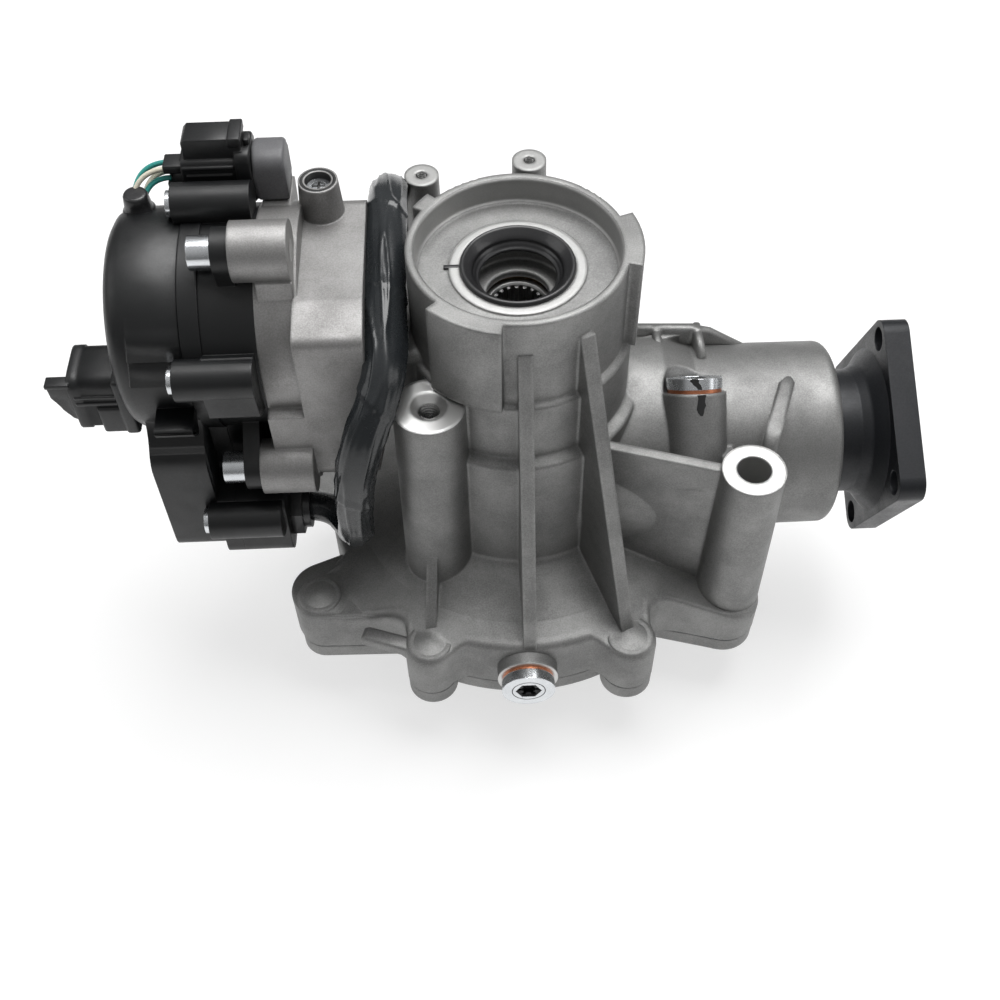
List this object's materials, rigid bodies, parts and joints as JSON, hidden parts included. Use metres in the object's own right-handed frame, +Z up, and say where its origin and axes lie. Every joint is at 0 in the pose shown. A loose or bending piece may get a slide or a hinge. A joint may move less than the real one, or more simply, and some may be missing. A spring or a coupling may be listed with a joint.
{
  "type": "front differential",
  "caption": "Aluminium front differential with splined axle outputs, a square drive flange and a motor-driven lock actuator on its side.",
  "frame": {"origin": "centre of the right-hand axle collar's mouth, on the plane that the part stands on", "axes": "+Z up the axle axis to the left-hand axle collar, +X along the pinion axis to the input flange"},
  "size_m": [0.3725, 0.2042, 0.2425],
  "materials": {
    "bearing_steel": "ground",
    "black_plastic": "moulded, fine grain",
    "blackened_steel": "black phosphate",
    "bronze": "bronze bush",
    "cast_aluminium": "die cast, lightly blasted, machined faces bright",
    "copper": "soft copper",
    "gasket_paper": "gasket sheet",
    "gear_steel": "ground and oiled",
    "grey_plastic": "moulded",
    "loom_tape": "wound tape",
    "machined_aluminium": "cast, machined faces",
    "motor_can": "drawn steel can",
    "seal_rubber": "nitrile rubber",
    "wire_sleeve": "wire insulation",
    "zinc_steel": "bright zinc"
  },
  "bodies": {
    "housing": {"main_case": "cast_aluminium", "side_cover": "cast_aluminium", "cover_gasket": "gasket_paper", "cover_bolts": "zinc_steel", "left_seal": "seal_rubber", "right_seal": "seal_rubber", "pinion_seal": "seal_rubber", "hub_bush": "bronze", "drain_plug": "zinc_steel", "drain_washer": "copper", "fill_plug": "zinc_steel", "fill_washer": "copper", "carrier_outer_races": "bearing_steel", "pinion_outer_races": "bearing_steel", "bearing_circlip": "gear_steel", "adapter_housing": "machined_aluminium", "port_gasket": "gasket_paper", "vent_screw": "zinc_steel", "gear_case": "black_plastic", "mid_ring": "grey_plastic", "motor_cap": "black_plastic", "motor": "motor_can", "idler_pin": "gear_steel", "case_screws": "zinc_steel", "actuator_screws": "zinc_steel", "power_socket": "black_plastic", "socket_pins": "copper", "sensor_plug": "black_plastic", "sensor_socket": "grey_plastic", "lead_wires": "wire_sleeve", "wire_boot": "seal_rubber", "taped_loom": "loom_tape", "loom_glands": "black_plastic"},
    "carrier": {"ring_gear": "gear_steel", "carrier_case": "blackened_steel", "carrier_cover": "blackened_steel", "ring_gear_bolts": "gear_steel", "cross_pin": "gear_steel", "side_washers": "bronze", "spider_washers": "bronze", "carrier_inner_races": "bearing_steel", "carrier_balls": "bearing_steel"},
    "pinion": {"pinion_shaft": "gear_steel", "input_flange": "blackened_steel", "flange_nut": "zinc_steel", "pinion_spacer": "gear_steel", "pinion_inner_races": "bearing_steel", "pinion_rollers": "bearing_steel"},
    "side_left": {"side_gear_left": "gear_steel", "lock_collar": "gear_steel"},
    "side_right": {"side_gear_right": "gear_steel"},
    "spider_back": {"spider_gear_back": "gear_steel"},
    "spider_front": {"spider_gear_front": "gear_steel"},
    "sleeve": {"lock_sleeve": "gear_steel"},
    "fork": {"shift_rail": "gear_steel", "shift_fork": "bronze"},
    "output": {"output_gear": "gear_steel"},
    "idler": {"idler_gear": "gear_steel"},
    "motor_gear": {"motor_pinion": "bronze"}
  },
  "joints": [
    {"name": "carrier_spin", "type": "hinge", "parent": "housing", "child": "carrier", "pos_m": [0, 0, 0.104], "axis": [0, 0, 1], "continuous": true},
    {"name": "pinion_spin", "type": "hinge", "parent": "housing", "child": "pinion", "pos_m": [0, 0, 0.104], "axis": [1, 0, 0], "continuous": true},
    {"name": "side_left_spin", "type": "hinge", "parent": "carrier", "child": "side_left", "pos_m": [0, 0, 0.104], "axis": [0, 0, 1], "continuous": true},
    {"name": "side_right_spin", "type": "hinge", "parent": "carrier", "child": "side_right", "pos_m": [0, 0, 0.104], "axis": [0, 0, 1], "continuous": true},
    {"name": "spider_back_spin", "type": "hinge", "parent": "carrier", "child": "spider_back", "pos_m": [0, 0.018, 0.104], "axis": [0, 1, 0], "continuous": true},
    {"name": "spider_front_spin", "type": "hinge", "parent": "carrier", "child": "spider_front", "pos_m": [0, -0.018, 0.104], "axis": [0, 1, 0], "continuous": true},
    {"name": "fork_slide", "type": "slide", "parent": "housing", "child": "fork", "axis": [0, 0, 1], "range_m": [0, 0.006]},
    {"name": "sleeve_slide", "type": "slide", "parent": "carrier", "child": "sleeve", "axis": [0, 0, 1], "range_m": [0, 0.006]},
    {"name": "output_turn", "type": "hinge", "parent": "housing", "child": "output", "pos_m": [-0.115, -0.00025, 0.144], "axis": [1, 0, 0], "range_deg": [0, 39.4]},
    {"name": "idler_turn", "type": "hinge", "parent": "housing", "child": "idler", "pos_m": [-0.115, 0.02648, 0.15762], "axis": [1, 0, 0], "range_deg": [-157.6, 0]},
    {"name": "motor_gear_turn", "type": "hinge", "parent": "housing", "child": "motor_gear", "pos_m": [-0.115, 0.015, 0.174], "axis": [1, 0, 0], "range_deg": [0, 472.5]}
  ],
  "couplings": [
    {"joint": "pinion_spin", "follows": "carrier_spin", "ratio": 2},
    {"joint": "side_right_spin", "follows": "side_left_spin", "ratio": -1},
    {"joint": "spider_back_spin", "follows": "side_left_spin", "ratio": -1.6},
    {"joint": "spider_front_spin", "follows": "side_left_spin", "ratio": 1.6},
    {"joint": "sleeve_slide", "follows": "fork_slide", "ratio": 1},
    {"joint": "output_turn", "follows": "fork_slide", "rad_per_m": 114.29},
    {"joint": "idler_turn", "follows": "fork_slide", "rad_per_m": -457.14},
    {"joint": "motor_gear_turn", "follows": "fork_slide", "rad_per_m": 1371.4}
  ]
}
